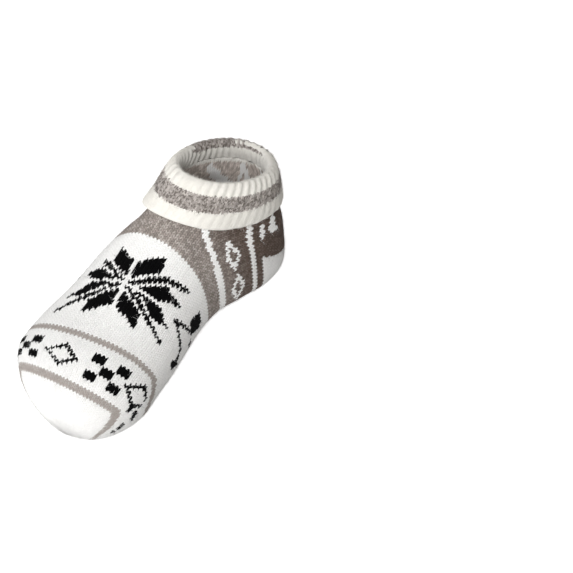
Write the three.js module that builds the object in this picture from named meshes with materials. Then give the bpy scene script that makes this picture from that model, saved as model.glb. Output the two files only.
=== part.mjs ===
import * as THREE from 'three';

// Knitted slipper sock with a turned-down ribbed cuff, cut for a right foot.
// Millimetres, Z up, the toe towards -Y and the big-toe side towards +X.
// It stands empty on its sole, with the mouth open at the top.

// Overall sizes of the foot
const footLength = 244;
const ballWidth = 96;
const heelWidth = 80;
const toeHeight = 37.4;
const ballHeight = 48.5;
const instepHeight = 64;
const foldHeightFront = 110.4;
const foldHeightBack = 89;
const wallThickness = 2.4;

// Shape of the sole and the line of the foot seen from above
const toeSpring = 3.5;
const archHeight = 5.2;
const flatPress = 0.6;
const toeTurn = 14;
const outerBow = 7.6;
const heelTurn = 8;
const widestAtBall = 16.2;
const widestAtHeel = 21.8;

// Roundings of the toe and the heel
const toeCapLength = 48;
const heelCapLength = 64.5;
const heelUnderRadius = 30;
const heelUndercut = 7.9;
const heelHollow = 7.7;
const ankleStart = 50;
const ankleRise = 18;
const ankleTaper = 0.13;

// Turned-down cuff
const rimDrop = 12;
const joinGap = 0.5;
const cuffThickness = 2.9;
const flapStandOff = 7.2;
const flapFront = 27;
const flapOuter = 34.5;
const flapBack = 28;
const flapInner = 31;
const flareFront = -2.4;
const flareOuter = 0.3;
const flareBack = 0;
const flareInner = -2.8;

// Roundness of the ring sections, 1 is an ellipse and less is squarer
const soleRoundness = 0.61;
const topRoundness = 0.9;
const toePower = 2.19;
const heelPower = 2.14;
const underPower = 2.3;

// Stations along the foot, at is a share of footLength.
// half width   = ball * ballWidth / 2 + heel * heelWidth / 2
// middle in X  = toe * toeTurn - bow * outerBow + turn * heelTurn
// crown height = tip * toeHeight + top * ballHeight + step * instepHeight + leg * foldHeightFront
// widest level = low * widestAtBall + high * widestAtHeel
// underside    = spring * toeSpring + arch * archHeight - press * flatPress
// lean         = how far a knitted ring tips towards the toe for each unit of height
const stations = [
  { at: 0.0, ball: 0.79, heel: 0, toe: 1, bow: 0, turn: 0, tip: 1, top: 0, step: 0, leg: 0,
    low: 0.88, high: 0, spring: 1, arch: 0, press: 0, lean: 0.66 },
  { at: 0.1, ball: 0.912, heel: 0, toe: 0.45, bow: 0.43, turn: 0, tip: 0.6, top: 0.4, step: 0, leg: 0,
    low: 0.92, high: 0, spring: 0.34, arch: 0, press: 0, lean: 0.52 },
  { at: 0.2, ball: 1, heel: 0, toe: 0.12, bow: 0.76, turn: 0, tip: 0.22, top: 0.77, step: 0, leg: 0,
    low: 0.96, high: 0, spring: 0, arch: 0, press: 0.5, lean: 0.36 },
  { at: 0.3, ball: 0.983, heel: 0, toe: 0, bow: 0.82, turn: 0, tip: 0, top: 1, step: 0, leg: 0,
    low: 1, high: 0, spring: 0, arch: 0, press: 1, lean: 0.22 },
  { at: 0.4, ball: 0.927, heel: 0, toe: 0, bow: 0.87, turn: 0, tip: 0, top: 0.57, step: 0.427, leg: 0,
    low: 0.85, high: 0.14, spring: 0, arch: 0.5, press: 0, lean: 0.12 },
  { at: 0.5, ball: 0.6, heel: 0.335, toe: 0, bow: 1, turn: 0, tip: 0, top: 0, step: 1, leg: 0,
    low: 0.5, high: 0.46, spring: 0, arch: 0.94, press: 0, lean: 0.07 },
  { at: 0.6, ball: 0.25, heel: 0.685, toe: 0, bow: 0.75, turn: 0.06, tip: 0, top: 0, step: 0.62, leg: 0.344,
    low: 0.15, high: 0.82, spring: 0, arch: 0.85, press: 0, lean: 0.1 },
  { at: 0.7, ball: 0, heel: 0.97, toe: 0, bow: 0.1, turn: 0.28, tip: 0, top: 0, step: 0.2, leg: 0.777,
    low: 0, high: 1, spring: 0, arch: 0.4, press: 0, lean: 0.13 },
  { at: 0.8, ball: 0, heel: 1.02, toe: 0, bow: 0, turn: 0.72, tip: 0, top: 0, step: 0, leg: 1.094,
    low: 0, high: 1, spring: 0, arch: 0, press: 1, lean: 0.13 },
  { at: 0.9, ball: 0, heel: 1.06, toe: 0, bow: 0, turn: 1, tip: 0, top: 0, step: 0, leg: 1.178,
    low: 0, high: 1, spring: 0, arch: 0, press: 1, lean: 0.13 },
  { at: 1.0, ball: 0, heel: 0.99, toe: 0, bow: 0, turn: 0.94, tip: 0, top: 0, step: 0, leg: 1.185,
    low: 0, high: 1, spring: 0, arch: 0, press: 0, lean: 0.13 },
];

// Cross-section of the cuff's cloth, outer face first, from the flap's hem over the fold to the join.
// down is a share of the flap's length below the fold, drop is millimetres below the fold,
// out is a share of flapStandOff and inset a share of cuffThickness inwards from it
const cuffOuterFace = [
  { down: 1, drop: 0, out: 1, inset: 0.12 },
  { down: 0.97, drop: 0, out: 1.03, inset: 0 },
  { down: 0.82, drop: 0, out: 1.03, inset: 0 },
  { down: 0.6, drop: 0, out: 1, inset: 0 },
  { down: 0.36, drop: 0, out: 0.98, inset: 0 },
  { down: 0.18, drop: 0, out: 0.92, inset: 0 },
  { down: 0.04, drop: 0, out: 0.76, inset: 0 },
  { down: 0, drop: -1, out: 0.5, inset: 0 },
  { down: 0, drop: -1, out: 0.2, inset: 0 },
  { down: 0, drop: 0.8, out: -0.1, inset: 0 },
];
const cuffInnerFace = [
  { down: 0, drop: 4.2, out: 0.12, inset: 0 },
  { down: 0, drop: 2.6, out: 0.3, inset: 0 },
  { down: 0.1, drop: 0, out: 0.47, inset: 0 },
  { down: 0.22, drop: 0, out: 0.95, inset: 1 },
  { down: 0.4, drop: 0, out: 1, inset: 1 },
  { down: 0.62, drop: 0, out: 1.01, inset: 1 },
  { down: 0.84, drop: 0, out: 1.03, inset: 1 },
  { down: 0.97, drop: 0, out: 1.03, inset: 1 },
  { down: 1, drop: 0, out: 1, inset: 0.88 },
];

// Mesh fineness
const ringsToThroat = 24;
const ringsBehindThroat = 22;
const stepsPerSide = 21;
const cuffStepsPerSide = 28;

const clamp = (value, low, high) => Math.min(high, Math.max(low, value));

const smoothStep = (value) => {
  const k = clamp(value, 0, 1);
  return k * k * (3 - 2 * k);
};

// Smooth curve through a table's points that never overshoots them
function curveThrough(xs, ys) {
  const last = xs.length - 1;
  const spans = [];
  const slopes = [];
  for (let i = 0; i < last; i += 1) {
    spans.push(xs[i + 1] - xs[i]);
    slopes.push((ys[i + 1] - ys[i]) / spans[i]);
  }
  const tangents = xs.map(() => 0);
  for (let i = 1; i < last; i += 1) {
    if (slopes[i - 1] * slopes[i] > 0) {
      const before = 2 * spans[i] + spans[i - 1];
      const after = spans[i] + 2 * spans[i - 1];
      tangents[i] = (before + after) / (before / slopes[i - 1] + after / slopes[i]);
    }
  }
  tangents[0] = slopes[0];
  tangents[last] = slopes[last - 1];
  return (x) => {
    const held = clamp(x, xs[0], xs[last]);
    let i = 0;
    while (i < last - 1 && held > xs[i + 1]) {
      i += 1;
    }
    const k = (held - xs[i]) / spans[i];
    const rise = ys[i + 1] - ys[i];
    const bend = k * (1 - k);
    const entry = tangents[i] * spans[i] - rise;
    const exit = rise - tangents[i + 1] * spans[i];
    return ys[i] + k * rise + bend * ((1 - k) * entry + k * exit);
  };
}

const places = stations.map((row) => row.at * footLength);
const column = (value) => curveThrough(places, stations.map(value));
const halfWidthAt = column((r) => (r.ball * ballWidth + r.heel * heelWidth) / 2);
const middleAt = column((r) => r.toe * toeTurn - r.bow * outerBow + r.turn * heelTurn);
const crownAt = column((r) => r.tip * toeHeight + r.top * ballHeight
  + r.step * instepHeight + r.leg * foldHeightFront);
const widestAt = column((r) => r.low * widestAtBall + r.high * widestAtHeel);
const undersideAt = column((r) => r.spring * toeSpring + r.arch * archHeight - r.press * flatPress);
const leanAt = column((r) => r.lean);

// Height of the cuff's fold over a station
function foldLine(station) {
  const back = clamp((station / footLength - 0.5) / 0.5, 0, 1);
  return foldHeightFront + (foldHeightBack - foldHeightFront) * back;
}

// The heel's back edge draws in under the heel and again above it
function backShift(height) {
  const above = clamp((height - widestAtHeel) / (foldHeightBack - widestAtHeel), 0, 1.5);
  const below = clamp((widestAtHeel - height) / widestAtHeel, 0, 1);
  const over = above ** 1.5 * (1.8 - 0.8 * Math.min(above, 1));
  return -heelHollow * over - heelUndercut * below * below;
}

// Closing factor of a rounded end, 1 where it starts and 0 at the tip
function roundEnd(share, power) {
  const k = clamp(share, 0, 1);
  return (1 - k ** power) ** (1 / power);
}

// Point on the foot's outer face.
// turn is 0 under the sole, 0.5 at the widest level and 1 on top, and its sign picks the side
function footPoint(station, turn) {
  const toeClose = roundEnd(1 - station / toeCapLength, toePower);
  const heelReach = (station - footLength + heelCapLength) / heelCapLength;
  const heelClose = roundEnd(heelReach, heelPower);
  const underReach = (station - footLength + heelUnderRadius) / heelUnderRadius;
  const underClose = roundEnd(underReach, underPower);
  const widest = widestAt(station);
  const underside = widest + (undersideAt(station) - widest) * toeClose * underClose;
  const crown = widest + (crownAt(station) - widest) * toeClose;
  const side = turn < 0 ? -1 : 1;
  const share = Math.abs(turn);
  let across = 0;
  let height = 0;
  if (share <= 0.5) {
    const angle = share * Math.PI;
    across = Math.max(Math.sin(angle), 0) ** soleRoundness;
    height = widest - (widest - underside) * Math.max(Math.cos(angle), 0) ** soleRoundness;
  } else {
    const angle = (share - 0.5) * Math.PI;
    across = Math.max(Math.cos(angle), 0) ** topRoundness;
    height = widest + (crown - widest) * Math.max(Math.sin(angle), 0) ** topRoundness;
  }
  across *= halfWidthAt(station) * toeClose * heelClose;
  const behindWaist = smoothStep((station / footLength - 0.45) / 0.2);
  across *= 1 - ankleTaper * behindWaist * smoothStep((height - ankleStart) / ankleRise);
  const drawIn = backShift(height) * clamp(heelReach, 0, 1) ** 2;
  const tip = leanAt(station) * (height - widest);
  return new THREE.Vector3(middleAt(station) + side * across, station + drawIn - tip, Math.max(height, 0));
}

// Direction square to the foot's outer face
function footNormal(station, turn) {
  const step = 0.05;
  const tilt = 0.002;
  const wrapped = turn + tilt > 1 ? turn + tilt - 2 : turn + tilt;
  const before = turn - tilt < -1 ? turn - tilt + 2 : turn - tilt;
  const along = footPoint(station + step, turn).sub(footPoint(station - step, turn));
  const round = footPoint(station, wrapped).sub(footPoint(station, before));
  return along.cross(round).normalize();
}

// Turn at which the ring at a station reaches a height
function turnAtHeight(station, height) {
  const widest = widestAt(station);
  const share = clamp((height - widest) / (crownAt(station) - widest), 0, 1);
  return 0.5 + Math.asin(share ** (1 / topRoundness)) / Math.PI;
}

// Station where the crown line comes up to a drop below the fold
function throatStation(drop) {
  let low = 0.35 * footLength;
  let high = 0.92 * footLength;
  for (let i = 0; i < 40; i += 1) {
    const middle = (low + high) / 2;
    if (crownAt(middle) < foldLine(middle) - drop) {
      low = middle;
    } else {
      high = middle;
    }
  }
  return (low + high) / 2;
}

// Value round the mouth, k is 0 at the front and 1 at the back
function roundMouth(k, side, front, outer, back, inner) {
  const flank = side > 0 ? inner : outer;
  const facing = Math.cos(Math.PI * k);
  const end = facing > 0 ? front : back;
  return flank + (end - flank) * facing * facing;
}

const flapLengthAt = (k, side) => roundMouth(k, side, flapFront, flapOuter, flapBack, flapInner);
const flareAt = (k, side) => roundMouth(k, side, flareFront, flareOuter, flareBack, flareInner);

// Point on the foot's face, carried on above the rim, at a drop below the fold
function mouthPoint(k, side, drop) {
  const throat = throatStation(drop);
  const station = throat + (footLength - throat) * (1 - Math.cos(Math.PI * k)) / 2;
  return footPoint(station, side * turnAtHeight(station, foldLine(station) - drop));
}

// Closed loop of points round the mouth, the big-toe side first
function mouthLoop(dropAt) {
  const points = [];
  for (let i = 0; i <= cuffStepsPerSide; i += 1) {
    const k = i / cuffStepsPerSide;
    points.push(mouthPoint(k, 1, dropAt(k, 1)));
  }
  for (let i = cuffStepsPerSide - 1; i > 0; i -= 1) {
    const k = i / cuffStepsPerSide;
    points.push(mouthPoint(k, -1, dropAt(k, -1)));
  }
  return points;
}

const loopPlace = (index) => {
  const onInner = index <= cuffStepsPerSide;
  const k = onInner ? index / cuffStepsPerSide : 2 - index / cuffStepsPerSide;
  return { k, side: onInner ? 1 : -1 };
};

// Directions square to the foot's face along a loop
function faceNormals(dropAt) {
  const loop = mouthLoop(dropAt);
  const over = mouthLoop((k, side) => dropAt(k, side) - 0.5);
  const under = mouthLoop((k, side) => dropAt(k, side) + 0.5);
  const count = loop.length;
  return loop.map((point, i) => {
    const along = loop[(i + 1) % count].clone().sub(loop[(i + count - 1) % count]);
    const up = over[i].clone().sub(under[i]);
    return along.cross(up).normalize();
  });
}

// Mesh from points and triangles, welded by index, with flat shading normals left to the viewer
function meshFrom(name, points, triangles, colour) {
  const geometry = new THREE.BufferGeometry();
  const numbers = new Float32Array(points.length * 3);
  points.forEach((point, i) => point.toArray(numbers, i * 3));
  geometry.setAttribute('position', new THREE.BufferAttribute(numbers, 3));
  geometry.setIndex(triangles.flat());
  geometry.computeVertexNormals();
  const material = new THREE.MeshStandardMaterial({ color: colour, roughness: 0.95 });
  const mesh = new THREE.Mesh(geometry, material);
  mesh.name = name;
  return mesh;
}

function vertexNormals(points, triangles) {
  const sums = points.map(() => new THREE.Vector3());
  for (const [a, b, c] of triangles) {
    const first = points[b].clone().sub(points[a]);
    const second = points[c].clone().sub(points[a]);
    const area = first.cross(second);
    for (const corner of [a, b, c]) {
      sums[corner].add(area);
    }
  }
  return sums.map((sum) => sum.normalize());
}

// The foot: rings of knitting from the closed toe to the seam at the back of the heel,
// whole as far as the throat and cut off at the rim behind it
function buildFoot() {
  const throat = throatStation(rimDrop);
  const rings = [];
  for (let i = 0; i < ringsToThroat; i += 1) {
    rings.push(throat * (1 - Math.cos(Math.PI * i / ringsToThroat / 2)));
  }
  for (let i = 0; i <= ringsBehindThroat; i += 1) {
    const k = (i / ringsBehindThroat) ** 0.8;
    rings.push(throat + (footLength - throat) * (1 - Math.cos(Math.PI * k)) / 2);
  }
  const lastRing = rings.length - 1;
  const across = 2 * stepsPerSide;
  const outer = [];
  const square = [];
  const index = [];
  const edge = [];
  rings.forEach((station, i) => {
    const row = [];
    const open = i > ringsToThroat;
    const reach = open ? turnAtHeight(station, foldLine(station) - rimDrop) : 1;
    for (let j = 0; j <= across; j += 1) {
      const whole = (j - stepsPerSide) / stepsPerSide;
      const turn = whole - (1 - reach) * whole * Math.abs(whole);
      const folded = i === lastRing && j > stepsPerSide;
      const closed = !open && j === across;
      const single = i === 0 && j > 0;
      if (single || closed) {
        row.push(row[0]);
      } else if (folded) {
        row.push(row[across - j]);
      } else if (i === lastRing && Math.abs(turn) <= 0.5 && j > 0 && Math.abs(row.turnBefore) <= 0.5) {
        row.push(row[j - 1]);
      } else {
        outer.push(footPoint(station, turn));
        square.push(i > 0 && i < lastRing ? footNormal(station, turn) : null);
        row.push(outer.length - 1);
      }
      row.turnBefore = turn;
    }
    index.push(row);
  });
  const skin = [];
  const addTriangle = (list, a, b, c) => {
    if (a !== b && b !== c && c !== a) {
      list.push([a, b, c]);
    }
  };
  for (let i = 0; i < lastRing; i += 1) {
    for (let j = 0; j < across; j += 1) {
      const a = index[i][j];
      const b = index[i][j + 1];
      const c = index[i + 1][j + 1];
      const d = index[i + 1][j];
      addTriangle(skin, a, c, b);
      addTriangle(skin, a, d, c);
    }
  }
  const normals = vertexNormals(outer, skin);
  const points = outer.slice();
  outer.forEach((point, i) => {
    points.push(point.clone().addScaledVector(square[i] || normals[i], -wallThickness));
  });
  const lining = skin.map(([a, b, c]) => [a + outer.length, c + outer.length, b + outer.length]);
  for (let i = ringsToThroat; i <= lastRing; i += 1) {
    edge.push(index[i][across]);
  }
  for (let i = lastRing - 1; i > ringsToThroat; i -= 1) {
    edge.push(index[i][0]);
  }
  const rim = [];
  edge.forEach((a, i) => {
    const b = edge[(i + 1) % edge.length];
    rim.push([a, b, a + outer.length]);
    rim.push([b, b + outer.length, a + outer.length]);
  });
  return meshFrom('foot', points, [...skin, ...lining, ...rim], 0xe9e6e0);
}

// The cuff: a ring whose cloth rises from the foot's rim, folds over and hangs outside the foot
function buildCuff() {
  const loops = [];
  const addLevel = (row) => {
    const dropAt = (k, side) => row.down * flapLengthAt(k, side) + row.drop;
    const loop = mouthLoop(dropAt);
    const away = faceNormals(dropAt);
    loops.push(loop.map((point, i) => {
      const { k, side } = loopPlace(i);
      const spread = row.down ** 1.3 * flareAt(k, side);
      const distance = row.out * flapStandOff - row.inset * cuffThickness + spread;
      return point.clone().addScaledVector(away[i], distance);
    }));
  };
  const addStem = (drop, depth) => {
    const loop = mouthLoop(() => drop);
    const away = faceNormals(() => drop);
    loops.push(loop.map((point, i) => point.clone().addScaledVector(away[i], -depth)));
  };
  cuffOuterFace.forEach(addLevel);
  addStem(3.2, wallThickness * 0.75);
  addStem(7, wallThickness);
  addStem(rimDrop - joinGap, wallThickness);
  addStem(rimDrop - joinGap, 0);
  addStem(7, 0);
  cuffInnerFace.forEach(addLevel);
  const around = loops[0].length;
  const points = loops.flat();
  const triangles = [];
  loops.forEach((loop, i) => {
    const next = (i + 1) % loops.length;
    for (let j = 0; j < around; j += 1) {
      const m = (j + 1) % around;
      const a = i * around + j;
      const b = i * around + m;
      const c = next * around + m;
      const d = next * around + j;
      triangles.push([a, b, c]);
      triangles.push([a, c, d]);
    }
  });
  return meshFrom('rib_cuff', points, triangles, 0xd9d2c6);
}

const group = new THREE.Group();
group.name = 'slipper_sock';
group.add(buildFoot());
group.add(buildCuff());

// Origin on the floor under the middle of the whole sock
const box = new THREE.Box3().setFromObject(group);
const middle = box.getCenter(new THREE.Vector3());
for (const mesh of group.children) {
  mesh.geometry.translate(-middle.x, -middle.y, -box.min.z);
}

export default group;
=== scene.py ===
import math

import bpy
import numpy as np
from mathutils import Matrix, Vector


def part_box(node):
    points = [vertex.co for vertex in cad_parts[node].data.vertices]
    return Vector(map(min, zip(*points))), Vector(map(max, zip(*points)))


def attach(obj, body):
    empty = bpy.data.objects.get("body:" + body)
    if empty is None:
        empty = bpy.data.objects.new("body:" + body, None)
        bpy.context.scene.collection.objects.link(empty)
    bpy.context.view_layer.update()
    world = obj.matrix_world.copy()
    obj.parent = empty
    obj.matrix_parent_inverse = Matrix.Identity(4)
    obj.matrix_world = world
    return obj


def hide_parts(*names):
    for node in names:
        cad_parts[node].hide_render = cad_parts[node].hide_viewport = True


# slipper sock for a right foot: knitted foot, its inside, ribbed cuff, loose wool hairs
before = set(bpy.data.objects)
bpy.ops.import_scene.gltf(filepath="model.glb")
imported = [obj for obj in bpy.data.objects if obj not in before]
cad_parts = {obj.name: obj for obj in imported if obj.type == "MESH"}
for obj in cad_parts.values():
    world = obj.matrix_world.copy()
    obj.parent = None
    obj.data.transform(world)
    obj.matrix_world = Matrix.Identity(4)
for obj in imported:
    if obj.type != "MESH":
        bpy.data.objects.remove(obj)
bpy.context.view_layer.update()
print("frame loaded")

# sizes of the foot in millimetres, the same as the fixed model's
foot = {
    "length": 244, "foldFront": 110.4, "foldBack": 89, "wall": 2.4,
    "widestHeel": 21.8, "toeCap": 48, "heelCap": 64.5, "heelUnder": 30,
    "undercut": 7.9, "hollow": 7.7, "ankleStart": 50, "ankleRise": 18, "ankleTaper": 0.13,
    "rimDrop": 12, "soleRound": 0.61, "topRound": 0.9, "toePower": 2.19, "heelPower": 2.14,
    "underPower": 2.3,
    "courseHeight": 1.95, "wales": 84,       # one stitch is a course high and a wale wide
    "legSlant": 0.75,                        # how far a stitch's middle runs ahead, in courses
    "waleDip": 0.42, "crease": 0.2, "legRise": 0.14,
}
# share of length, half width, middle in x, crown, widest level, underside, lean
stations = [
    (0.0, 37.92, 14.0, 37.4, 14.26, 3.5, 0.66),
    (0.1, 43.78, 3.03, 41.84, 14.9, 1.19, 0.52),
    (0.2, 48.0, -4.1, 45.57, 15.55, -0.3, 0.36),
    (0.3, 47.18, -6.23, 48.5, 16.2, -0.6, 0.22),
    (0.4, 44.5, -6.61, 54.97, 16.82, 2.6, 0.12),
    (0.5, 42.2, -7.6, 64.0, 18.13, 4.89, 0.07),
    (0.6, 39.4, -5.22, 77.66, 20.31, 4.42, 0.1),
    (0.7, 38.8, 1.48, 98.58, 21.8, 2.08, 0.13),
    (0.8, 40.8, 5.76, 120.78, 21.8, -0.6, 0.13),
    (0.9, 42.4, 8.0, 130.05, 21.8, -0.6, 0.13),
    (1.0, 39.6, 7.52, 130.82, 21.8, 0.0, 0.13),
]


def curveThrough(xs, ys):        # smooth curve that never overshoots its points
    xs, ys = np.array(xs, float), np.array(ys, float)
    spans = np.diff(xs)
    slopes = np.diff(ys) / spans
    tangents = np.zeros(len(xs))
    for i in range(1, len(xs) - 1):
        if slopes[i - 1] * slopes[i] > 0:
            before, after = 2 * spans[i] + spans[i - 1], spans[i] + 2 * spans[i - 1]
            tangents[i] = (before + after) / (before / slopes[i - 1] + after / slopes[i])
    tangents[0], tangents[-1] = slopes[0], slopes[-1]

    def at(x):
        held = np.clip(x, xs[0], xs[-1])
        i = np.clip(np.searchsorted(xs, held, side="left") - 1, 0, len(spans) - 1)
        k = (held - xs[i]) / spans[i]
        rise = ys[i + 1] - ys[i]
        entry = tangents[i] * spans[i] - rise
        leave = rise - tangents[i + 1] * spans[i]
        return ys[i] + k * rise + k * (1 - k) * ((1 - k) * entry + k * leave)
    return at


stationPlaces = [row[0] * foot["length"] for row in stations]
halfWidthAt, middleAt, crownAt, widestAt, undersideAt, leanAt = [
    curveThrough(stationPlaces, [row[n] for row in stations]) for n in range(1, 7)]


def smooth(value):
    k = np.clip(value, 0, 1)
    return k * k * (3 - 2 * k)


def foldLine(station):
    back = np.clip((station / foot["length"] - 0.5) / 0.5, 0, 1)
    return foot["foldFront"] + (foot["foldBack"] - foot["foldFront"]) * back


def backShift(height):
    above = np.clip((height - foot["widestHeel"]) / (foot["foldBack"] - foot["widestHeel"]), 0, 1.5)
    below = np.clip((foot["widestHeel"] - height) / foot["widestHeel"], 0, 1)
    over = above ** 1.5 * (1.8 - 0.8 * np.minimum(above, 1))
    return -foot["hollow"] * over - foot["undercut"] * below * below


def roundEnd(share, power):
    return (1 - np.clip(share, 0, 1) ** power) ** (1 / power)


# point on the outside: turn is 0 under the sole, 0.5 at the widest level, 1 on top
def footPoint(station, turn):
    length = foot["length"]
    toeClose = roundEnd(1 - station / foot["toeCap"], foot["toePower"])
    heelReach = (station - length + foot["heelCap"]) / foot["heelCap"]
    heelClose = roundEnd(heelReach, foot["heelPower"])
    underClose = roundEnd((station - length + foot["heelUnder"]) / foot["heelUnder"], foot["underPower"])
    widest = widestAt(station)
    underside = widest + (undersideAt(station) - widest) * toeClose * underClose
    crown = widest + (crownAt(station) - widest) * toeClose
    share = np.abs(turn)
    low = share <= 0.5
    angle = np.where(low, share, share - 0.5) * np.pi
    sine, cosine = np.maximum(np.sin(angle), 0), np.maximum(np.cos(angle), 0)
    across = np.where(low, sine ** foot["soleRound"], cosine ** foot["topRound"])
    height = np.where(low, widest - (widest - underside) * cosine ** foot["soleRound"],
                      widest + (crown - widest) * sine ** foot["topRound"])
    across = across * halfWidthAt(station) * toeClose * heelClose
    behindWaist = smooth((station / length - 0.45) / 0.2)
    across = across * (1 - foot["ankleTaper"] * behindWaist
                       * smooth((height - foot["ankleStart"]) / foot["ankleRise"]))
    drawIn = backShift(height) * np.clip(heelReach, 0, 1) ** 2
    tip = leanAt(station) * (height - widest)
    side = np.where(turn < 0, -1.0, 1.0)
    return np.stack([middleAt(station) + side * across, station + drawIn - tip,
                     np.maximum(height, 0)], -1)


def turnAtHeight(station, height):
    widest = widestAt(station)
    share = np.clip((height - widest) / (crownAt(station) - widest), 0, 1)
    return 0.5 + np.arcsin(share ** (1 / foot["topRound"])) / np.pi


throatDrops = np.linspace(-4, 46, 201)
throatPlaces = []
for drop in throatDrops:
    nearEnd, farEnd = 0.35 * foot["length"], 0.92 * foot["length"]
    for _ in range(30):
        half = (nearEnd + farEnd) / 2
        if crownAt(half) < foldLine(half) - drop:
            nearEnd = half
        else:
            farEnd = half
    throatPlaces.append(half)


def throatStation(drop):         # where the crown comes up to a drop below the fold
    return np.interp(drop, throatDrops, throatPlaces)


# place of the model's own millimetres in the frame
densePlaces = np.linspace(0, foot["length"], 245)
denseFoot = footPoint(*np.meshgrid(densePlaces, np.linspace(-1, 1, 161), indexing="ij"))
rimHeight = foldLine(densePlaces)[:, None] - foot["rimDrop"]
denseFoot = denseFoot[denseFoot[..., 2] < rimHeight + 0.5]
footLow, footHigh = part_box("foot")
frameShift = np.array([denseFoot[:, n].min() + denseFoot[:, n].max() - (footLow[n] + footHigh[n]) * 1000
                       for n in (0, 1)]) / 2


def toFrame(points):             # millimetres of the foot's own layout into metres of the frame
    moved = np.array(points, float)
    moved[..., 0] -= frameShift[0]
    moved[..., 1] -= frameShift[1]
    return moved / 1000


def linear(red, green, blue):    # screen colour into the shader's colour
    return tuple(((v / 255 + 0.055) / 1.055) ** 2.4 if v > 10 else v / 3295 for v in (red, green, blue))


# camera, from above the toe on the big-toe side
camera = {"azimuth": 33.1, "elevation": 41.2, "roll": -0.36, "distance": 1.142,
          "target": (0, 122, 40), "targetPixel": (154.5, 283.5), "frameSize": 573, "pixelsPerMetre": 1530}


def aimCamera():
    data = bpy.data.cameras.new("camera")
    shot = bpy.data.objects.new("camera", data)
    bpy.context.scene.collection.objects.link(shot)
    azimuth, elevation, roll = [math.radians(camera[n]) for n in ("azimuth", "elevation", "roll")]
    back = Vector((math.sin(azimuth) * math.cos(elevation), -math.cos(azimuth) * math.cos(elevation),
                   math.sin(elevation)))
    right = Vector((math.cos(azimuth), math.sin(azimuth), 0))
    up = back.cross(right)
    right, up = (right * math.cos(roll) - up * math.sin(roll), right * math.sin(roll) + up * math.cos(roll))
    target = Vector(toFrame(camera["target"]))
    focal = camera["pixelsPerMetre"] * camera["distance"]
    centre = camera["frameSize"] / 2
    sideways = math.atan((centre - camera["targetPixel"][0]) / focal)
    upwards = math.atan((camera["targetPixel"][1] - centre) / focal)
    shot.location = target + back * camera["distance"]
    turned = Matrix.Rotation(-sideways, 3, up) @ Matrix.Rotation(upwards, 3, right)
    right, up, back = turned @ right, turned @ up, turned @ back
    shot.rotation_mode = "QUATERNION"
    shot.rotation_quaternion = Matrix((right, up, back)).transposed().to_quaternion()
    data.sensor_width = 36
    data.lens = focal * math.cos(sideways) ** 1.5 / camera["frameSize"] * 36
    data.clip_start, data.clip_end = 0.01, 20
    bpy.context.scene.camera = shot


aimCamera()
print("camera set")

# stitch chart of the foot
chart = {
    # two lines round the toes: course, half width, corner
    "greyLines": [(26.9, 1.45, 16.4), (44.0, 1.45, 19.2)],
    "lozenges": (-24.5, -2.3, 18, 39), "checkers": (-35, -13.2, 9.1, 29),   # stitches from the top
    "band": 35.5,
    "starStart": (0, 66),                                # star's middle, in stitches and courses
    "whiteEnds": 83.4,                                   # grey wool from here to the heel
    "heelLines": [(91.7, 1.25, 0.4, 16), (106.8, 1.2, 0.8, 16)],   # course, half width, rise towards the top
    "heelSole": (111, 20.5, 0.35),                       # white wool below here: course, stitch, rise
    "diamonds": [(17.0, 99.2), (25.8, 99.0), (34.5, 99.2)],
}


def lozengeMark(x, y):           # outline one stitch thick
    ring = np.abs(x) / 4.3 + np.abs(y) / 4.1
    return (ring < 1.04) & (ring > 0.7)


def checkerMark(x, y):           # five squares of three stitches
    i, j = np.floor(x / 3 + 1.5), np.floor(y / 3 + 1.5)
    return (i >= 0) & (i < 3) & (j >= 0) & (j < 3) & ((i + j) % 2 == 0)


# how the knitting is pulled over the instep: stitches counted on the foot into stitches of the star,
# a cubic fitted to 36 corners of the star
starPull = {
    "across": [-0.0288, 1.0192, 0.0865, -0.0119, 0.0037, -0.0012, 0.0008, -0.0006, -0.0001, 0.0001],
    "along": [0.5003, -0.1632, 1.0344, 0.0209, -0.0042, -0.0011, -0.0008, 0.0016, 0.0003, -0.0003],
}


def starYarn(x, y):              # eight petals six stitches wide, a plain gap and rays between dotted lines
    terms = [np.ones_like(x), x, y, x * x, x * y, y * y, x ** 3, x * x * y, x * y * y, y ** 3]
    u = np.round(np.abs(sum(c * t for c, t in zip(starPull["across"], terms))))
    v = np.round(np.abs(sum(c * t for c, t in zip(starPull["along"], terms))))
    upright = (u >= 1) & (u <= 6) & (v >= u + 2) & (v <= u + 7)
    level = (v >= 1) & (v <= 6) & (u >= v + 3) & (u <= v + 8)
    ray = (v >= 1) & (u >= v) & (u <= v + 1) & (u <= 14)
    return upright | level | ray


# marks low on each side of the star: from stitch and course to stitch and course, half thickness
sideMarks = [
    (15.2, 66.0, 22.8, 71.0, 0.62), (15.2, 65.9, 21.2, 62.3, 0.62),
    (21.4, 62.2, 22.4, 58.8, 0.6), (22.8, 58.4, 21.3, 54.6, 1.05),
    (22.4, 76.4, 21.6, 73.2, 2.1), (21.4, 73.4, 20.4, 71.6, 0.7), (24.4, 69.6, 24.6, 68.4, 0.8),
    (30.5, 58, 30.5, 74, 1.2), (35.5, 62, 35.5, 70, 1.2),
]
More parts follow.
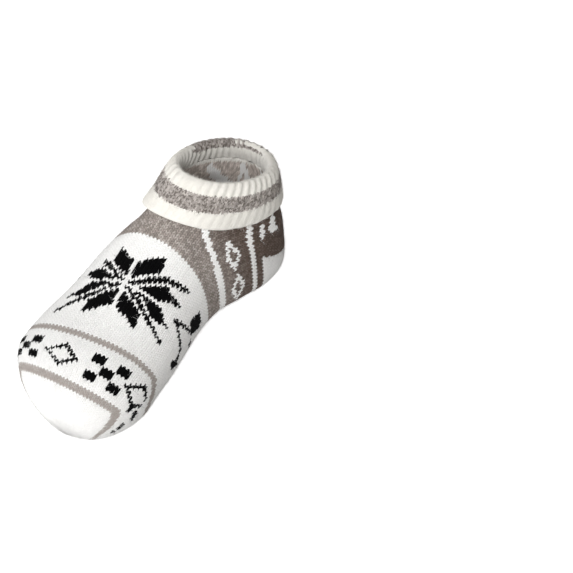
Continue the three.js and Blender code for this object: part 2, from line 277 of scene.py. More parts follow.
# the grey lines turn back under the toes at a corner on each side
lineReturns = [
    (16.2, 26.6, 17.4, 23.2, 1.15), (17.4, 23.2, 18.5, 18.2, 1.1), (18.5, 18.2, 19.8, 13.5, 1.0),
    (19.8, 13.5, 22.6, 10.8, 0.9), (22.6, 10.8, 28, 9.5, 1.0), (28, 9.5, 42, 9.2, 1.2),
    (18.4, 44.0, 20.0, 43.0, 1.3), (20.0, 43.0, 21.8, 40.4, 1.1), (21.8, 40.4, 23.4, 36.4, 1.0),
    (23.4, 36.4, 27, 31.5, 1.1), (27, 31.5, 42, 29.5, 1.3),
]
# painted light: light patches on the heel, drawn in white wool, that belong to the light and shade round the
# cuff and not to the knitting
paintedHeelLight = [(13.5, 115.0, 15.2, 112.8, 0.75), (14.1, 122.4, 15.4, 118.0, 0.9),
             (16.6, 121.4, 15.5, 118.0, 0.6)]
# marks that show inside the heel: a line on the outer side, the top of a diamond, a line on the inner side
insideMarks = [(-12.0, 130.4, -25.5, 141, 1.3), (-21.5, 146.4, -27, 144.2, 1.0),
               (-21.5, 146.4, -30, 149.2, 1.0), (15.5, 145.6, 22, 143.4, 0.9)]
# squares of the toe band that have slipped under the corner
toeMarks = [(20.6, 31.4, 21.6, 28.6, 0.75), (18.3, 31.3, 18.7, 29.8, 0.6), (21.2, 24.4, 21.8, 21.2, 0.7),
            (21.9, 19.6, 22.1, 19.0, 0.8)]


def nearSegment(x, y, mark):
    x0, y0, x1, y1, reach = mark
    dx, dy = x1 - x0, y1 - y0
    k = np.clip(((x - x0) * dx + (y - y0) * dy) / (dx * dx + dy * dy), 0, 1)
    return np.hypot(x - x0 - k * dx, y - y0 - k * dy) < reach


def stitchYarn(course, wale):    # course counts from the toe, wale from the middle of the sole
    away = np.abs(wale)
    side = foot["wales"] / 2 - away
    fromTop = np.where(wale < 0, -side, side)
    yarn = np.zeros(course.shape, int)
    for centre, halfWidth, corner in chart["greyLines"]:
        yarn[(np.abs(course - centre) < halfWidth) & (side < corner)] = 3
    for mark in lineReturns:
        yarn[nearSegment(side, course, mark)] = 3
    # band of lozenges and checkers between the two grey lines
    for marks, drawn in (("lozenges", lozengeMark), ("checkers", checkerMark)):
        for centre in chart[marks]:
            along = course - chart["band"]
            yarn[drawn(fromTop - centre, along) & (side < 20.6)] = 2
    # star on top of the foot and the marks on its sides
    starAcross, starAlong = fromTop - chart["starStart"][0], course - chart["starStart"][1]
    nearStar = (starAcross > -12.2) & (starAcross < 16.5) & (np.abs(starAlong) < 17)
    nearStar &= (starAcross > -8.6) | (starAlong < 2.8)
    star = starYarn(np.where(nearStar, starAcross, 0.0), np.where(nearStar, starAlong, 0.0))
    yarn[nearStar & star] = 2
    for mark in sideMarks + toeMarks:
        yarn[nearSegment(side, course, mark)] = 2
    # grey wool from the instep to the heel, with white lines and motifs
    heel = course > chart["whiteEnds"]
    yarn[heel] = 1
    for place, halfWidth, rise, bend in chart["heelLines"]:
        centre = place + rise * np.clip(bend - side, 0, 8)
        yarn[heel & (np.abs(course - centre) < halfWidth)] = 0
    for middleSide, middleCourse in chart["diamonds"]:
        across, along = side - middleSide, course - middleCourse + 0.2 * (side - middleSide)
        ring = np.abs(across) / 4.1 + np.abs(along) / 3.0
        yarn[heel & (ring < 1.02) & (ring > 0.52)] = 0
    first, low, slope = chart["heelSole"]
    yarn[(course > first) & (side > low + slope * (course - first))] = 0
    # painted light: the light patches on the heel, in white wool
    for mark in paintedHeelLight:
        yarn[nearSegment(side, course, mark)] = 0
    return yarn


yarnTone = {                     # screen colours of the wool before light falls on it
    "white": (240, 240, 239), "cream": (239, 237, 231), "black": (5, 5, 6),
    "greyLight": (188, 180, 174), "grey": (170, 161, 155), "greyDark": (150, 142, 136),
    "softGrey": (178, 171, 166),
    "cuffLight": (208, 201, 196), "cuffGrey": (176, 169, 164), "cuffDark": (124, 117, 112),
}
gapShadeDepth = (0.1, 0.6, 0.3, 0.3)              # painted shade: how much the gaps between stitches are darkened in each wool


# each stitch leg has its own tone: 0 white wool, 1 grey melange, 2 black, 3 the soft grey of the toe lines
def woolColours(yarn, seed, whiteName="white", greys=("grey", "greyDark", "greyLight")):
    random = np.random.default_rng(seed)
    legs = random.random(yarn.shape)[..., None]
    white, grey, dark, light, black, soft = [np.array(linear(*yarnTone[n])) for n in
                                             (whiteName, *greys, "black", "softGrey")]
    mixed = np.where(legs < 0.3, dark, np.where(legs < 0.7, grey, light))
    colours = np.where((yarn == 0)[..., None], white * (0.94 + 0.07 * legs), mixed)
    colours = np.where((yarn == 2)[..., None], black * (0.5 + 0.8 * legs), colours)
    colours = np.where((yarn == 3)[..., None], soft * (0.9 + 0.15 * legs), colours)
    # the fourth channel carries the painted shade in the gaps between stitches
    gapShades = np.array(gapShadeDepth)[yarn][..., None]
    return np.concatenate([np.clip(colours, 0, 1), gapShades], -1)


def heelPaintedShade(tones, yarn, course):            # painted shade: the grey wool is darkened and warmed towards the heel, where it turns away from the light
    heelShade = (smooth((course - 84) / 24) * (yarn == 1))[..., None]
    tones[..., :3] *= 1 - heelShade * np.array([0.62, 0.68, 0.71])
    return tones


# material: stitch legs as bump, painted shade in the gaps between legs, wool fibres and sheen
def mathNode(tree, kind, a, b=None, c=None):
    node = tree.nodes.new("ShaderNodeMath")
    node.operation = kind
    for n, value in enumerate((a, b, c)):
        if value is None:
            continue
        if isinstance(value, (int, float)):
            node.inputs[n].default_value = value
        else:
            tree.links.new(value, node.inputs[n])
    return node.outputs[0]


def woolMaterial(name, columns, rows, slant, settings):
    material = bpy.data.materials.new(name)
    material.use_nodes = True
    tree = material.node_tree
    shader = tree.nodes["Principled BSDF"]
    tint = tree.nodes.new("ShaderNodeAttribute")
    tint.attribute_name = "yarn"
    place = tree.nodes.new("ShaderNodeUVMap")
    place.uv_map = "OFBake"
    split = tree.nodes.new("ShaderNodeSeparateXYZ")
    tree.links.new(place.outputs["UV"], split.inputs[0])
    across = mathNode(tree, "FRACT", mathNode(tree, "MULTIPLY", split.outputs["X"], float(columns)))
    offCentre = mathNode(tree, "ABSOLUTE", mathNode(tree, "MULTIPLY_ADD", across, 2.0, -1.0))
    fold = mathNode(tree, "SUBTRACT", 1.0, offCentre)
    counted = mathNode(tree, "MULTIPLY", split.outputs["Y"], float(rows))
    along = mathNode(tree, "FRACT",
                     mathNode(tree, "SUBTRACT", counted, mathNode(tree, "MULTIPLY", fold, float(slant))))
    leg = mathNode(tree, "SINE", mathNode(tree, "MULTIPLY", along, math.pi))
    wave = mathNode(tree, "SINE", mathNode(tree, "MULTIPLY", across, 2 * math.pi))
    legAcross = mathNode(tree, "MULTIPLY_ADD", mathNode(tree, "ABSOLUTE", wave), 0.6, 0.4)
    strand = mathNode(tree, "MULTIPLY", mathNode(tree, "POWER", leg, 0.6), legAcross)
    spot = tree.nodes.new("ShaderNodeTexCoord")
    fibres = tree.nodes.new("ShaderNodeTexNoise")
    fibres.inputs["Scale"].default_value = settings["fibreScale"]
    fibres.inputs["Detail"].default_value = 6
    fibres.inputs["Roughness"].default_value = 0.7
    tree.links.new(spot.outputs["Object"], fibres.inputs["Vector"])
    patches = tree.nodes.new("ShaderNodeTexNoise")
    patches.inputs["Scale"].default_value = settings["patchScale"]
    patches.inputs["Detail"].default_value = 3
    tree.links.new(spot.outputs["Object"], patches.inputs["Vector"])
    height = mathNode(tree, "ADD", mathNode(tree, "MULTIPLY", strand, settings["strandShare"]),
                   mathNode(tree, "MULTIPLY", fibres.outputs["Fac"], settings["fibreShare"]))
    bump = tree.nodes.new("ShaderNodeBump")
    bump.inputs["Strength"].default_value = settings["bump"]
    bump.inputs["Distance"].default_value = settings["bumpDepth"]
    tree.links.new(height, bump.inputs["Height"])
    tree.links.new(bump.outputs["Normal"], shader.inputs["Normal"])
    # painted shade: gaps between legs are darkened, fibres a little lighter
    gap = mathNode(tree, "SUBTRACT", 1.0, strand)
    shade = mathNode(tree, "SUBTRACT", 1.0, mathNode(tree, "MULTIPLY", gap, tint.outputs["Alpha"]))
    for noise, amount in ((fibres, settings["fibreTone"]), (patches, settings["patchTone"])):
        lift = mathNode(tree, "MULTIPLY_ADD", noise.outputs["Fac"], amount, 1 - amount / 2)
        shade = mathNode(tree, "MULTIPLY", shade, lift)
    grade = tree.nodes.new("ShaderNodeVectorMath")
    grade.operation = "SCALE"
    tree.links.new(tint.outputs["Color"], grade.inputs[0])
    tree.links.new(shade, grade.inputs["Scale"])
    tree.links.new(grade.outputs[0], shader.inputs["Base Color"])
    rough = mathNode(tree, "MULTIPLY_ADD", fibres.outputs["Fac"], 0.12, 0.84)
    tree.links.new(rough, shader.inputs["Roughness"])
    shader.inputs["Specular IOR Level"].default_value = 0.06
    shader.inputs["Sheen Weight"].default_value = settings["sheen"]
    shader.inputs["Sheen Roughness"].default_value = 0.5
    return material


# mesh from a grid of points, each face in its own wool
def knitMesh(name, points, faces, faceColours, uvs, material):
    mesh = bpy.data.meshes.new(name)
    mesh.from_pydata(points.tolist(), [], faces if isinstance(faces, list) else faces.tolist())
    counts = np.array([p.loop_total for p in mesh.polygons])
    corner = np.zeros(len(mesh.loops), np.int32)
    mesh.loops.foreach_get("vertex_index", corner)
    colours = np.ones((len(mesh.loops), 4), np.float32)
    colours[:] = faceColours.repeat(counts, 0)
    layer = mesh.color_attributes.new("yarn", "FLOAT_COLOR", "CORNER")
    layer.data.foreach_set("color", colours.ravel())
    grid = mesh.uv_layers.new(name="OFBake")
    grid.data.foreach_set("uv", uvs[corner].astype(np.float32).ravel())
    mesh.polygons.foreach_set("use_smooth", np.ones(len(mesh.polygons), bool))
    mesh.materials.append(material)
    mesh.update()
    piece = bpy.data.objects.new(name, mesh)
    bpy.context.scene.collection.objects.link(piece)
    return piece


def normalsOf(grid):             # square to a grid of points
    along = np.gradient(grid, axis=0)
    around = np.gradient(grid, axis=1)
    away = np.cross(along, around)
    return away / (np.linalg.norm(away, axis=-1, keepdims=True) + 1e-9)


# courses and wales laid over the foot
sideGrid = np.linspace(0, foot["length"], 1221)
sideLine = [footPoint(sideGrid, np.full_like(sideGrid, turn)) for turn in (0.5, -0.5)]
sideArc = np.mean([np.concatenate([[0], np.cumsum(np.linalg.norm(np.diff(line, axis=0), axis=1))])
                   for line in sideLine], 0)
courseCount = int(sideArc[-1] / foot["courseHeight"])
courseHeight = sideArc[-1] / courseCount
footThroat = float(throatStation(foot["rimDrop"]))


def courseLean(course, wale):    # the knitting round the toes leans: courses to go on, towards the big toe
    side = foot["wales"] / 2 - np.abs(wale)
    fromTop = np.where(wale < 0, -side, side)
    share = smooth((course - 28) / 14) * smooth((66 - course) / 18)
    return 0.13 * np.clip(fromTop, -18, 12.5) * share * smooth((26 - side) / 8)


def layCourses(perCourse, perWale):
    courses = np.linspace(0, courseCount, courseCount * perCourse + 1)
    columns = np.linspace(-foot["wales"] / 2, foot["wales"] / 2, foot["wales"] * perWale + 1)
    turns = np.linspace(-1, 1, 401)
    places = np.interp(courses * courseHeight, sideArc, sideGrid)
    places[0] = 0.02
    station, turn = np.meshgrid(places, turns, indexing="ij")
    ring = footPoint(station, turn)
    arc = np.concatenate([np.zeros((len(places), 1)),
                          np.cumsum(np.linalg.norm(np.diff(ring, axis=1), axis=2), 1)], 1)
    arc -= arc[:, 200:201]
    halfRing = (arc[:, -1] - arc[:, 0]) / 2
    waleWidth = np.interp(footThroat, places, halfRing) / (foot["wales"] / 2)
    turnTable = np.zeros((len(places), len(columns)))
    reachTable = np.zeros(len(places))
    for n, place in enumerate(places):
        width = halfRing[n] / (foot["wales"] / 2) if place < footThroat else waleWidth
        reach = 1.0 if place < footThroat else float(turnAtHeight(place, foldLine(place) - foot["rimDrop"]))
        turnTable[n] = np.clip(np.interp(columns * width, arc[n], turns), -reach, reach)
        reachTable[n] = reach
    station = np.broadcast_to(places[:, None], turnTable.shape)
    return courses, columns, footPoint(station, turnTable), turnTable, reachTable


def buildFootOutside():
    courses, columns, surface, turnTable, reachTable = layCourses(4, 6)
    away = normalsOf(surface)
    away[-3:] = away[-4]
    phase = np.arange(len(columns)) % 6
    ahead = np.array([0, 1, 2, 3, 2, 1])[phase] / 3 * foot["legSlant"]
    rows = np.arange(courseCount + 1)
    lean = courseLean(rows[:, None], columns[None, :])
    spot = np.clip((rows[:, None] + ahead[None, :] + lean) * 4, 0, len(courses) - 1)
    low = np.floor(spot).astype(int)
    high = np.minimum(low + 1, len(courses) - 1)
    share = (spot - low)[..., None]
    column = np.broadcast_to(np.arange(len(columns))[None, :], spot.shape)
    points = surface[low, column] * (1 - share) + surface[high, column] * share
    square = away[low, column] * (1 - share) + away[high, column] * share
    turns = turnTable[low, column]
    reach = reachTable[low]
    # valleys between the wales, a crease down each stitch
    dip, rise, crease = foot["waleDip"], foot["legRise"], foot["crease"]
    relief = np.array([-dip, rise * 0.4, rise, -crease, rise, rise * 0.4])[phase][None, :]
    fade = smooth((rows[:, None] - 3) / 12) * smooth((courseCount - rows[:, None]) / 4)
    points = points + square * (relief * fade)[..., None]
    points[..., 2] = np.maximum(points[..., 2], 0)
    # faces, three to a leg
    index = np.arange(points.shape[0] * points.shape[1]).reshape(points.shape[:2])
    index[:, -1] = index[:, 0]
    beyond = np.abs(turns) >= reach - 1e-6
    beyond &= reach < 1
    quads = np.stack([index[:-1, :-1], index[1:, :-1], index[1:, 1:], index[:-1, 1:]], -1)
    hidden = beyond[:-1, :-1] & beyond[:-1, 1:] & beyond[1:, 1:] & beyond[1:, :-1]
    keep = ~hidden
    course, wale = np.meshgrid(rows[:-1] + 0.5, np.floor(columns[:-1:3] * 2 + 0.01) / 2 + 0.25, indexing="ij")
    yarn = stitchYarn(course, wale)
    # painted shade towards the heel on the grey wool
    legTone = heelPaintedShade(woolColours(yarn, 7), yarn, course).repeat(3, 1)
    uvs = np.stack([np.broadcast_to((columns / foot["wales"] + 0.5)[None, :], spot.shape),
                    (rows[:, None] + ahead[None, :]) / (courseCount + 1)], -1)
    material = woolMaterial("knitted wool", foot["wales"], courseCount + 1, foot["legSlant"], {
        "fibreScale": 1400, "patchScale": 60, "strandShare": 0.7, "fibreShare": 0.5, "bump": 0.6,
        "bumpDepth": 0.0006, "fibreTone": 0.24, "patchTone": 0.08, "sheen": 0.015})
    faces = quads[keep]
    colours = legTone[keep]
    piece = knitMesh("foot_knit", toFrame(points.reshape(-1, 3)), faces, colours,
                     uvs.reshape(-1, 2), material)
    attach(piece, "root")
    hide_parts("foot")
    seen = np.argwhere(keep & (points[:-1, :-1, 2] > 1.2))
    roots = (points[seen[:, 0], seen[:, 1]], square[seen[:, 0], seen[:, 1]], legTone[seen[:, 0], seen[:, 1]])
    return piece, roots


footKnit, footRoots = buildFootOutside()
print("foot knitted:", len(footKnit.data.polygons), "faces,", courseCount, "courses")


# the cuff's cream wool reaches this far below the fold inside, and so much further behind the heel
# lift is painted light on the inside's grey; gapShadeShare scales the painted shade in its gaps
inside = {"ridge": 0.18, "plainBehind": 6, "lift": 1.5, "gapShadeShare": 0.3, "creamRim": 13, "creamBehind": 6}


def buildFootInside():           # the reverse of the same knitting, a wall's thickness inside
    courses, columns, surface, turnTable, reachTable = layCourses(1, 2)
    away = normalsOf(surface)
    away[-2:] = away[-3]
    away[0] = (0, -1, 0)
    ridge = inside["ridge"] * np.cos(np.pi * np.arange(len(columns)))[None, :, None]
    points = surface - away * (foot["wall"] + ridge)
    index = np.arange(points.shape[0] * points.shape[1]).reshape(points.shape[:2])
    index[:, -1] = index[:, 0]
    beyond = (np.abs(turnTable) >= reachTable[:, None] - 1e-6) & (reachTable[:, None] < 1)
    quads = np.stack([index[:-1, :-1], index[:-1, 1:], index[1:, 1:], index[1:, :-1]], -1)
    hidden = beyond[:-1, :-1] & beyond[:-1, 1:] & beyond[1:, 1:] & beyond[1:, :-1]
    course, wale = np.meshgrid(courses[:-1] + 0.5, np.floor(columns[:-1]) + 0.5, indexing="ij")
    yarn = stitchYarn(course, wale)
    fromTop = np.where(wale < 0, -1, 1) * (foot["wales"] / 2 - np.abs(wale))
    yarn[course > chart["heelLines"][1][0] + inside["plainBehind"]] = 1
    for mark in insideMarks:
        yarn[nearSegment(fromTop, course, mark)] = 0
    tone = woolColours(yarn, 11)
    tone[yarn == 1, :3] = np.clip(tone[yarn == 1, :3] * inside["lift"], 0, 0.9)      # painted light: the inside's grey is made lighter, standing in for light that reaches into the mouth
    # painted shade in the gaps is weaker on the inside
    tone[..., 3] *= inside["gapShadeShare"]
    height = points[:-1, :-1, 2]
    back = smooth((courses[:-1] - 95) / 45)[:, None]
    rim = height > foldLine(surface[:-1, :-1, 1]) - inside["creamRim"] - inside["creamBehind"] * back
    tone[rim] = woolColours(np.zeros(tone.shape[:2], int), 12, "cream")[rim]
    uvs = np.stack([np.broadcast_to((columns / foot["wales"] + 0.5)[None, :], turnTable.shape),
                    np.broadcast_to(courses[:, None] / (courseCount + 1), turnTable.shape)], -1)
    material = woolMaterial("knitted wool inside", foot["wales"], courseCount + 1, 0.3, {
        "fibreScale": 1100, "patchScale": 60, "strandShare": 0.6, "fibreShare": 0.6, "bump": 0.5,
        "bumpDepth": 0.0006, "fibreTone": 0.3, "patchTone": 0.1, "sheen": 0.015})
    piece = knitMesh("foot_inside", toFrame(points.reshape(-1, 3)), quads[~hidden], tone[~hidden],
                     uvs.reshape(-1, 2), material)
    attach(piece, "root")
    return piece


footInside = buildFootInside()
print("inside of the foot:", len(footInside.data.polygons), "faces")

# ribbed cuff
cuff = {
    "thickness": 2.9, "standOff": 7.2, "joinGap": 0.5,
    "flap": {"front": 27, "outer": 34.5, "back": 28, "inner": 31},
    "flare": {"front": -2.4, "outer": 0.3, "back": 0, "inner": -2.8},
    "ribs": 40, "stitchesPerRib": 3, "ribDepth": 0.75, "stitchDepth": 0.16,
    # rows of points: on the outside face, on the under face, the fold, first inside, without hairs
    "outsideLevels": 46, "underLevels": 26, "foldLevel": 26, "insideLevel": 34, "hairlessLevels": 14,
    # grey band: where it starts below the fold at the front and the back, its width
    "greyFront": 8.6, "greyBack": -0.5, "greyWide": 10.5,
    "greyTurns": {"outer": (0.3, 0.55), "inner": (0.6, 0.9)},   # share of the way back where it turns over
}
# the cloth's section: share of the flap below the fold, millimetres below it, share of the stand-off,
# share of the thickness inwards
cuffOutside = [
    (1, 0, 1, 0.12), (0.97, 0, 1.03, 0), (0.82, 0, 1.03, 0), (0.6, 0, 1, 0), (0.36, 0, 0.98, 0),
    (0.18, 0, 0.92, 0), (0.04, 0, 0.76, 0), (0, -1, 0.5, 0), (0, -1, 0.2, 0), (0, 0.8, -0.1, 0),
]
cuffUnder = [
    (0, 4.2, 0.12, 0), (0, 2.6, 0.3, 0), (0.1, 0, 0.47, 0), (0.22, 0, 0.95, 1), (0.4, 0, 1, 1),
    (0.62, 0, 1.01, 1), (0.84, 0, 1.03, 1), (0.97, 0, 1.03, 1), (1, 0, 1, 0.88),
]


def mouthPoint(k, side, drop):
    throat = throatStation(drop)
    station = throat + (foot["length"] - throat) * (1 - np.cos(np.pi * k)) / 2
    return footPoint(station, side * turnAtHeight(station, foldLine(station) - drop))


def roundMouth(k, side, values):
    flank = np.where(side > 0, values["inner"], values["outer"])
    facing = np.cos(np.pi * k)
    end = np.where(facing > 0, values["front"], values["back"])
    return flank + (end - flank) * facing * facing


def mouthColumns(perStitch):     # places round the mouth, evenly spaced along the fold
    count = cuff["ribs"] * cuff["stitchesPerRib"] * perStitch
    fine = np.linspace(0, 1, 401)
    inner = mouthPoint(fine, np.ones(401), np.zeros(401))
    outer = mouthPoint(fine, -np.ones(401), np.zeros(401))
    loop = np.concatenate([inner, outer[::-1][1:]])
    arc = np.concatenate([[0], np.cumsum(np.linalg.norm(np.diff(loop, axis=0), axis=1))])
    around = np.interp(np.linspace(0, arc[-1], count + 1)[:-1], arc, np.linspace(0, 2, 801))
    return np.where(around <= 1, around, 2 - around), np.where(around <= 1, 1.0, -1.0)


def cuffLevel(k, side, down, drop, out, inset):
    fall = down * roundMouth(k, side, cuff["flap"]) + drop
    loops = [mouthPoint(k, side, fall + step) for step in (0, -0.5, 0.5)]
    along = np.roll(loops[0], -1, 0) - np.roll(loops[0], 1, 0)
    away = np.cross(along, loops[1] - loops[2])
    away /= np.linalg.norm(away, axis=-1, keepdims=True) + 1e-9
    spread = down ** 1.3 * roundMouth(k, side, cuff["flare"])
    distance = out * cuff["standOff"] - inset * cuff["thickness"] + spread
    return loops[0], away, distance


def sectionCurve(rows, count):   # finer section through the rows, evenly spaced
    rows = np.array(rows, float)
    off = rows[:, 2] * cuff["standOff"] - rows[:, 3] * cuff["thickness"]
    flat = np.stack([rows[:, 0] * 30 + rows[:, 1], off], 1)
    arc = np.concatenate([[0], np.cumsum(np.linalg.norm(np.diff(flat, axis=0), axis=1))])
    spots = np.linspace(0, arc[-1], count)
    return np.stack([curveThrough(arc, rows[:, n])(spots) for n in range(4)], 1)


def buildCuff():
    perStitch = 4
    k, side = mouthColumns(perStitch)
    columns = len(k)
    stem = foot["rimDrop"] - cuff["joinGap"]
    # outer face, over the fold and down inside to the join
    wall = foot["wall"] / cuff["standOff"]
    downInside = [(0, 3.2, -0.75 * wall, 0), (0, 7, -wall, 0), (0, stem, -wall, 0)]
    front = sectionCurve(cuffOutside + downInside, cuff["outsideLevels"])
    under = sectionCurve([(0, stem, 0, 0), (0, 7, 0, 0)] + cuffUnder, cuff["underLevels"])
    section = np.concatenate([front, under])
    stitch = np.arange(columns) // perStitch
    phase = np.arange(columns) % perStitch
    rib = (np.arange(columns) / perStitch / cuff["stitchesPerRib"]) % 1
    ribWave = np.clip(np.cos(2 * np.pi * (rib - 0.5)) * 1.3, -1, 1)
    stitchWave = np.array([-1, 0.4, -0.3, 0.4])[phase]
    rows = []
    for n, (down, drop, out, inset) in enumerate(section):
        place, away, distance = cuffLevel(k, side, down, drop, out, inset)
        if n < len(front):
            nearFold = math.exp(-((n - cuff["foldLevel"]) / 9) ** 2)
            strength = 0.35 + 0.75 * nearFold if n < cuff["insideLevel"] else 0.8
            relief = cuff["ribDepth"] * strength * (ribWave - 1) * 0.5
            relief = relief + cuff["stitchDepth"] * (stitchWave - 0.4)
        else:
            relief = np.zeros(columns)
        rows.append(place + away * (distance + relief)[:, None])
    points = np.array(rows)
    levels = len(points)
    ahead = np.array([0, 0.5, 1, 0.5])[phase] * 0.7
    shifted = points.copy()
    for n in range(1, len(front) - 1):       # stitch legs slant on the face that shows
        shifted[n] = points[n] * (1 - ahead[:, None]) + points[n + 1] * ahead[:, None]
    points = shifted
    index = np.arange(levels * columns).reshape(levels, columns)
    index = np.concatenate([index, index[:1]], 0)
    right = np.roll(index, -1, 1)
    quads = np.stack([index[:-1], right[:-1], right[1:], index[1:]], -1)
    # bands of colour by the length of cloth from the fold, less than nothing on the inside
    tooth = (stitch % 2) * 1.0
    flap = roundMouth(k, side, cuff["flap"])
    turns = cuff["greyTurns"]
    turnStart, turnEnd = [np.where(side > 0, turns["inner"][n], turns["outer"][n]) for n in (0, 1)]
    behind = smooth((k - turnStart) / (turnEnd - turnStart))
    greyBack = np.where(side > 0, cuff["greyBack"] + 3 * (1 - k), cuff["greyBack"] - 3 * (1 - k))
    greyStart = cuff["greyFront"] + (greyBack - cuff["greyFront"]) * behind
    yarn = np.zeros((levels, columns), int)
    for n in range(levels):
        down, drop, out = section[n, :3]
        length = down * flap + drop if down > 0 or out > 0.2 else np.full(columns, -drop)
        spot = length - greyStart + 0.35 * tooth
        yarn[n] = (spot > 0) & (spot < cuff["greyWide"])
    tone = woolColours(yarn[:, ::2], 23, "cream", ("cuffGrey", "cuffDark", "cuffLight")).repeat(2, 1)
    # painted shade in the gaps is weaker on the cuff
    tone[..., 3] *= 0.6
    uvs = np.stack(np.broadcast_arrays(np.arange(columns)[None, :] / (columns + 4.0),
                                       np.arange(levels)[:, None] / (levels + 1.0)), -1).reshape(-1, 2)
    material = woolMaterial("ribbed wool", (columns + 4.0) / perStitch, levels + 1, 0.7, {
        "fibreScale": 1400, "patchScale": 60, "strandShare": 0.7, "fibreShare": 0.5, "bump": 0.6,
        "bumpDepth": 0.0006, "fibreTone": 0.22, "patchTone": 0.08, "sheen": 0.015})
    piece = knitMesh("rib_cuff_knit", toFrame(points.reshape(-1, 3)), quads.reshape(-1, 4),
                     tone.reshape(-1, 4), uvs, material)
    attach(piece, "root")
    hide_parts("rib_cuff")
    shown = slice(1, len(front) - cuff["hairlessLevels"])
    outside = points[shown]
    up = np.cross(np.roll(outside, -1, 1) - np.roll(outside, 1, 1), np.gradient(outside, axis=0))
    up /= np.linalg.norm(up, axis=-1, keepdims=True) + 1e-9
    roots = (outside.reshape(-1, 3), up.reshape(-1, 3), tone[shown].reshape(-1, 4))
    return piece, roots


cuffKnit, cuffRoots = buildCuff()
print("cuff knitted:", len(cuffKnit.data.polygons), "faces")

# loose wool hairs, thin and bent, in the wool of the stitch that they come out of
def growHairs(name, spots, ups, tones, count, settings):
    random = np.random.default_rng(settings["seed"])
    picked = random.integers(0, len(spots), count)
    up = ups[picked]
    base = spots[picked] + random.normal(0, 0.4, (count, 3)) * (1 - up ** 2)
    lay = np.cross(up, random.normal(0, 1, (count, 3)))
    lay /= np.linalg.norm(lay, axis=1, keepdims=True) + 1e-9
    curl = np.cross(up, lay)
    length = random.gamma(4.0, settings["length"] / 4, (count, 1))
    stand = random.uniform(0.25, 0.8, (count, 1))
    bend = random.normal(0, 0.35, (count, 1))
    middle = base + lay * length * 0.5 + up * (length * stand * 0.5) + curl * length * bend * 0.3
    tip = base + lay * length * 0.9 + up * (length * stand * 0.55) + curl * length * bend
    half = curl * settings["width"] / 2
    sunk = base - up * 0.15
    points = np.stack([sunk - half, sunk + half, middle - half * 0.8, middle + half * 0.8, tip], 1)
    points[..., 2] = np.maximum(points[..., 2], 0.05)
    first = np.arange(count)[:, None] * 5
    quads, tips = first + np.array([[0, 1, 3, 2]]), first + np.array([[2, 3, 4]])
    faces = [face for pair in zip(quads.tolist(), tips.tolist()) for face in pair]
    colours = tones[picked].copy()
    # painted shade: hairs take on the knitting's mean gap shade in their colour and carry no gap shade of
    # their own
    colours[:, :3] *= 1 - 0.45 * colours[:, 3:]
    colours[:, 3] = 0
    cell = np.round(colours[:, 1] * 6) / 8
    uvs = np.stack([cell[:, None] + np.array([[0.02, 0.08, 0.02, 0.08, 0.05]]),
                    np.broadcast_to([[0.1, 0.1, 0.5, 0.5, 0.9]], (count, 5))], -1)
    return finishHairs(name, toFrame(points.reshape(-1, 3)), faces, colours.repeat(2, 0), uvs.reshape(-1, 2))


def finishHairs(name, points, faces, faceColours, uvs):
    material = bpy.data.materials.new(name)
    material.use_nodes = True
    tree = material.node_tree
    tint = tree.nodes.new("ShaderNodeAttribute")
    tint.attribute_name = "yarn"
    tree.links.new(tint.outputs["Color"], tree.nodes["Principled BSDF"].inputs["Base Color"])
    tree.nodes["Principled BSDF"].inputs["Roughness"].default_value = 0.9
    tree.nodes["Principled BSDF"].inputs["Specular IOR Level"].default_value = 0.06
    piece = knitMesh(name, points, faces, faceColours, uvs, material)
    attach(piece, "root")
    return piece


hairs = {"foot": {"seed": 5, "count": 62000, "length": 2.1, "width": 0.1},
         "cuff": {"seed": 6, "count": 24000, "length": 1.8, "width": 0.1}}
footHairs = growHairs("foot_hairs", *footRoots, hairs["foot"]["count"], hairs["foot"])
cuffHairs = growHairs("cuff_hairs", *cuffRoots, hairs["cuff"]["count"], hairs["cuff"])
print("hairs grown:", len(footHairs.data.polygons) + len(cuffHairs.data.polygons), "faces")

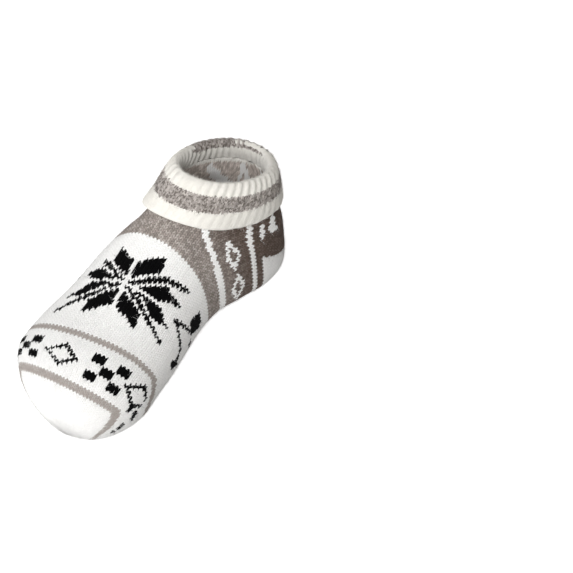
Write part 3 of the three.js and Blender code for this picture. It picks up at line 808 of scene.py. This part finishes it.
# floor and studio light
studio = {"world": (1.0, 0.98, 0.96), "worldStrength": 0.36,
          "key": {"place": (0.42, -1.08, 1.04), "size": 0.35, "power": 16, "colour": (1.0, 0.99, 0.98)},
          "fill": {"place": (-1.1, -0.5, 0.8), "size": 0.9, "power": 5.2, "colour": (0.97, 0.98, 1.0)},
          "low": {"place": (0.1, -0.9, 0.16), "size": 0.35, "power": 3.4, "colour": (1.0, 1.0, 1.0)},
          "floorColour": (0.93, 0.93, 0.93), "floorGlow": 0.7}


def areaLamp(name, lamp, aim):
    data = bpy.data.lights.new(name, "AREA")
    data.shape = "DISK"
    data.size, data.energy, data.color = lamp["size"], lamp["power"], lamp["colour"]
    source = bpy.data.objects.new(name, data)
    bpy.context.scene.collection.objects.link(source)
    source.location = lamp["place"]
    source.rotation_mode = "QUATERNION"
    source.rotation_quaternion = (Vector(lamp["place"]) - Vector(aim)).to_track_quat("Z", "Y")


def buildStudio():
    world = bpy.data.worlds.new("studio")
    world.use_nodes = True
    sky = world.node_tree.nodes["Background"]
    sky.inputs["Color"].default_value = (*studio["world"], 1)
    sky.inputs["Strength"].default_value = studio["worldStrength"]
    bpy.context.scene.world = world
    bpy.context.scene.view_settings.view_transform = "Standard"
    areaLamp("key", studio["key"], (0, 0, 0.04))
    areaLamp("fill", studio["fill"], (0, 0, 0.04))
    areaLamp("low", studio["low"], (0, -0.1, 0.02))
    mesh = bpy.data.meshes.new("floor")
    mesh.from_pydata([(-4, -4, 0), (4, -4, 0), (4, 4, 0), (-4, 4, 0)], [], [(0, 1, 2, 3)])
    floor = bpy.data.objects.new("floor", mesh)
    bpy.context.scene.collection.objects.link(floor)
    paint = bpy.data.materials.new("pale floor")
    paint.use_nodes = True
    shader = paint.node_tree.nodes["Principled BSDF"]
    shader.inputs["Base Color"].default_value = (*studio["floorColour"], 1)
    shader.inputs["Roughness"].default_value = 0.9
    shader.inputs["Emission Color"].default_value = (1, 1, 1, 1)
    shader.inputs["Emission Strength"].default_value = studio["floorGlow"]
    mesh.materials.append(paint)
    floor.visible_diffuse = False        # the white floor throws no light back up at the wool


buildStudio()
print("floor and light set")
